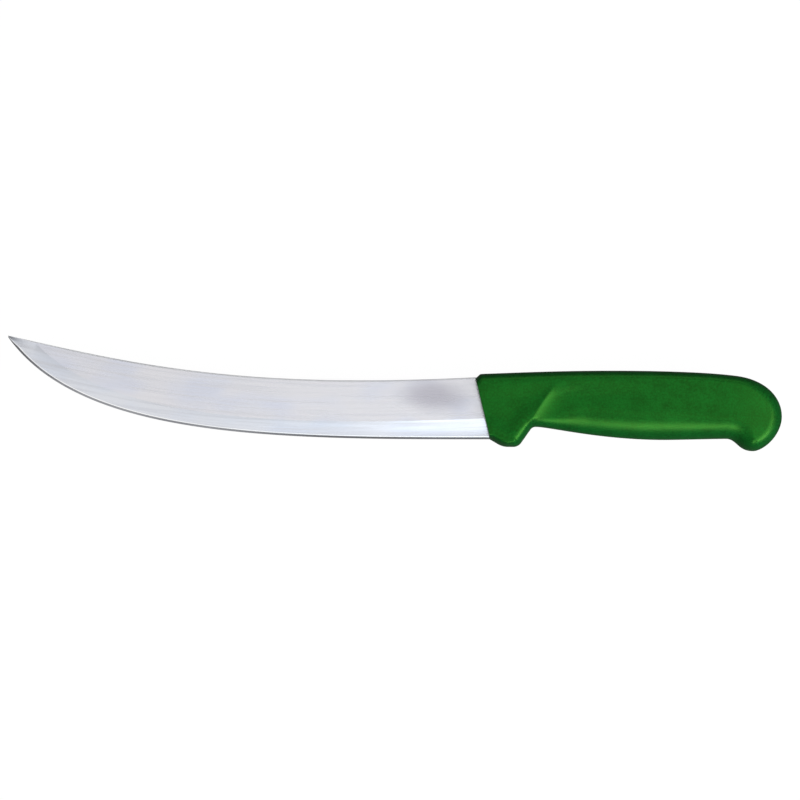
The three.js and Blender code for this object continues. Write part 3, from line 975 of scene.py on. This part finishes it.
    def slot(self) -> np.ndarray:
        """Works out the slot in the front face that takes the blade's heel.

        Returns:
            Three rows of points: the middle of its bottom, the bottom's rim and its mouth.
        """
        share = np.linspace(0, 1, self.columns + 1)
        top = self.on_front(self.front_top)
        half = np.where((share > 0) & (share < 1), Blade.stock / 2 + self.slot_room, 0)
        mouth = np.stack([top[0] * share, top[1] * share, half], axis=1)
        deep = mouth + np.array([Blade.heel_depth + self.slot_end_room, 0, 0])
        return np.stack([deep * np.array([1, 1, 0]), deep, mouth])

    def surface(self) -> Skin:
        """Works out the handle's surface.

        Its height is the flank's level times the rise of the rims. The first rows turn the front
        edge over along a small quarter circle, and the rows of the slot come before them.

        Returns:
            The skin.
        """
        foot, crown = self.foot(), self.crown()
        lines = self.lines(foot, crown)
        starts = [self.first_row, *range(1, len(self.rows))]
        at = np.concatenate([
            np.linspace(start, k + 1, count, endpoint=False)
            for k, (start, count) in enumerate(zip(starts, self.rows))] + [[len(self.rows)]])
        turn = np.linspace(0, math.pi / 2, self.front_rows)
        front = self.front_round * (1 - np.cos(turn))
        key = np.arange(len(lines))
        foot_share = np.concatenate([front / foot.length, np.interp(at, key, lines[:, 0])])
        crown_share = np.concatenate([front / crown.length, np.interp(at, key, lines[:, 1])])
        line_at = np.concatenate([np.zeros(self.front_rows), at])
        bow = np.interp(line_at, key, lines[:, 2])
        flat = self.flank(foot.at(foot_share), crown.at(crown_share), bow)

        ridge_foot, ridge_crown, ridge_bow = lines[self.RIDGE_LINE:self.RIDGE_LINE + 1].T
        ridge = Path(self.flank(foot.at(ridge_foot), crown.at(ridge_crown), ridge_bow)[0])
        behind = (line_at > self.RIDGE_LINE)[:, None]
        below, above = foot.nearest(flat), crown.nearest(flat)
        level = self.level(flat[..., 0], ridge.nearest(flat)[0], behind, below[0], above[0])
        height = level * self.rims(foot, crown, below, above)
        height[:, [0, -1]] = 0

        inset = np.zeros((len(line_at), 1))
        inset[:self.front_rows, 0] = self.front_round * (1 - np.sin(turn))
        middle = flat.mean(axis=1, keepdims=True)
        half = np.maximum(np.ptp(flat[..., 1], axis=1)[:, None] / 2, 1)
        shrink = 1 - inset / half - self.seam / half * (height > 0)
        flat = middle + (flat - middle) * shrink[..., None]
        height = height * (1 - inset / (self.thickness / 2))
        upper = np.concatenate([flat, height[..., None]], axis=2)
        return Skin(np.concatenate([self.slot(), upper]))

    def build(self) -> bpy.types.Object:
        """Makes the handle and dresses it.

        Returns:
            The finished piece.
        """
        piece = bpy.data.objects.new("handle_moulding", self.surface().mesh("handle_moulding"))
        piece.data.materials.append(MouldedPolypropylene().material())
        return piece


@dataclass(frozen=True)
class SoftBox:
    """A rectangular studio light, in metres, aimed at a point."""

    name: str
    place: tuple[float, float, float]
    aim: tuple[float, float, float]
    size: tuple[float, float]
    radiance: float
    colour: str = "FFFFFF"
    spares_blade: bool = False

    def build(self) -> bpy.types.Object:
        """Makes the light, with power for its radiance: four times radiance times area.

        Returns:
            The light, which the camera doesn't see.
        """
        data = bpy.data.lights.new(self.name, "AREA")
        data.shape = "RECTANGLE"
        data.color = linear(self.colour)[:3]
        data.size, data.size_y = self.size
        data.energy = 4 * self.radiance * self.size[0] * self.size[1]
        light = bpy.data.objects.new(self.name, data)
        light.location = self.place
        aim = Vector(self.aim) - Vector(self.place)
        light.rotation_euler = aim.to_track_quat("-Z", "Y").to_euler()
        light.visible_camera = False
        bpy.context.scene.collection.objects.link(light)
        return light


@dataclass
class Studio:
    """White floor, soft light and the camera, in metres.

    Lens, sensor and the middle of the view, measured from the datum, are in millimetres. A strength
    of 1 is white. The surround passes from horizon to ceiling over a range of heights on a sphere
    of radius 1.
    """

    floor_reach: float = 6.0
    floor_colour: str = "3A3A3A"
    glow: float = 0.975
    reflected_glow: float = 0.05
    reflected_walls: float = 0.3
    ceiling: float = 0.34
    horizon: float = 0.18
    ceiling_range: tuple[float, float] = (0.4, 0.94)
    lens: float = 120.0
    sensor: float = 36.0
    view_width: float = 0.344
    view_middle: tuple[float, float] = (-38.5, 16.9)
    lights: list[SoftBox] = field(default_factory=lambda: [
        SoftBox("belly_softbox", (0.135, -0.64, 0.39), (0.08, 0.0, 0.0), (0.31, 0.28), 7.1),
        SoftBox("ridge_softbox", (0.62, -0.42, 0.40), (0.08, 0.0, 0.0), (0.36, 0.24), 11.0,
                spares_blade=True),
        SoftBox("slope_softbox", (0.52, -0.30, 0.64), (0.08, 0.0, 0.0), (0.22, 0.22), 3.2),
        SoftBox("end_softbox", (0.82, -0.08, 0.62), (0.15, 0.0, 0.0), (0.22, 0.20), 8.8,
                spares_blade=True),
        SoftBox("back_softbox", (0.05, 0.52, 0.55), (0.05, 0.0, 0.0), (0.90, 0.45), 0.9),
        SoftBox("pommel_softbox", (0.38, -0.06, 0.62), (0.15, 0.0, 0.0), (0.20, 0.30), 1.8),
        SoftBox("blade_softbox", (-0.13, -0.06, 0.66), (-0.13, -0.06, 0.0), (0.42, 0.42), 0.50),
        SoftBox("heel_softbox", (0.13, -0.18, 0.66), (0.05, 0.0, 0.0), (0.26, 0.15), 0.95, "F6FBFF"),
        SoftBox("bevel_softbox", (0.0, -0.15, 0.66), (0.0, 0.0, 0.0), (0.24, 0.13), 0.22, "BCE1FF"),
    ])

    def floor(self) -> bpy.types.Object:
        """Makes the floor.

        A white glow lies on a plain diffuse surface, which keeps the knife's shadow. The glow is
        seen directly and through clear things, and more faintly in reflections.

        Returns:
            The floor.
        """
        mesh = bpy.data.meshes.new("floor")
        far = self.floor_reach
        mesh.from_pydata([(-far, -far, 0), (far, -far, 0), (far, far, 0), (-far, far, 0)], [],
                         [(0, 1, 2, 3)])
        floor = bpy.data.objects.new("floor", mesh)
        bpy.context.scene.collection.objects.link(floor)
        material = new_material("white floor")
        tree = material.node_tree
        path = add_node(tree, "LightPath").outputs
        seen = add_node(tree, "Math", {"operation": "MAXIMUM"}, None, {
            0: path["Is Camera Ray"], 1: path["Is Transmission Ray"]}).outputs[0]
        direct = add_node(tree, "Math", {"operation": "MULTIPLY"}, {1: self.glow}, {0: seen}).outputs[0]
        glow = add_node(tree, "Math", {"operation": "MULTIPLY_ADD"}, {1: self.reflected_glow}, {
            0: path["Is Glossy Ray"], 2: direct}).outputs[0]
        matt = add_node(tree, "BsdfDiffuse", None, {"Color": linear(self.floor_colour)}).outputs[0]
        white = add_node(tree, "Emission", None, None, {"Strength": glow}).outputs[0]
        mixed = add_node(tree, "AddShader", None, None, {0: matt, 1: white}).outputs[0]
        add_node(tree, "OutputMaterial", None, None, {"Surface": mixed})
        mesh.materials.append(material)
        return floor

    def spare_blade(self, lit: Sequence[bpy.types.Object]) -> None:
        """Keeps the low lights off the blade, where they would glare in a view from the tip.

        Args:
            lit: the objects that these lights fall on.
        """
        receivers = bpy.data.collections.new("lit_by_low_lights")
        for thing in lit:
            receivers.objects.link(thing)
        for box in self.lights:
            if box.spares_blade:
                bpy.data.objects[box.name].light_linking.receiver_collection = receivers

    def world(self) -> None:
        """Makes the surround.

        It is white where it is seen directly or through clear things, a dimmer white in
        reflections, and for the rest a ceiling over darker walls.
        """
        world = bpy.data.worlds.new("studio")
        world.use_nodes = True
        tree = world.node_tree
        tree.nodes.clear()
        path = add_node(tree, "LightPath").outputs
        seen = add_node(tree, "Math", {"operation": "MAXIMUM"}, None, {
            0: path["Is Camera Ray"], 1: path["Is Transmission Ray"]}).outputs[0]
        white = add_node(tree, "Math", {"operation": "MULTIPLY_ADD"}, {1: self.reflected_walls}, {
            0: path["Is Glossy Ray"], 2: seen}).outputs[0]
        up = add_node(tree, "SeparateXYZ", None, None, {
            0: add_node(tree, "TexCoord").outputs["Generated"]}).outputs[2]
        room = ranged(tree, up, self.ceiling_range, (self.horizon, self.ceiling), Easing.SMOOTH)
        strength = add_node(tree, "Math", {"operation": "MAXIMUM"}, None, {0: room, 1: white}).outputs[0]
        sky = add_node(tree, "Background", None, {"Color": (1, 1, 1, 1)}, {"Strength": strength})
        add_node(tree, "OutputWorld", None, None, {"Surface": sky.outputs[0]})
        bpy.context.scene.world = world

    def camera(self) -> bpy.types.Object:
        """Makes the camera, straight above, far enough for the view's width at the blade.

        Returns:
            The camera, which the scene uses.
        """
        data = bpy.data.cameras.new("camera")
        data.lens, data.sensor_width = self.lens, self.sensor
        camera = bpy.data.objects.new("camera", data)
        distance = self.view_width * self.lens / self.sensor
        middle = Vector(DATUM.place(np.array([*self.view_middle, 0.0])))
        camera.location = middle + Vector((0, 0, distance))
        bpy.context.scene.collection.objects.link(camera)
        bpy.context.scene.camera = camera
        return camera


DATUM = Datum(Vector((
    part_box("handle")[1].x - Handle.length * MM,
    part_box("blade")[1].y - Blade.tip_rise * MM,
    (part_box("blade")[0].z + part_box("blade")[1].z) / 2)))


def main() -> None:
    """Builds studio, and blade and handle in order."""
    logging.basicConfig(level=logging.INFO, format="%(name)s: %(message)s")
    scene = bpy.context.scene
    scene.view_settings.view_transform = "Standard"
    studio = Studio()
    studio.camera()
    floor = studio.floor()
    studio.world()
    for box in studio.lights:
        light = box.build()
        LOG.info("light %s", light.name)
    blade, handle = Blade().build(), Handle().build()
    for node, slot, piece in (("blade", "blade_steel", blade), ("handle", "handle_plastic", handle)):
        scene.collection.objects.link(piece)
        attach(piece, "root")
        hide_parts(node)
        LOG.info("piece %s: %d triangles", piece.name, len(piece.data.polygons))
    studio.spare_blade([floor, handle])


if __name__ == "__main__":
    main()
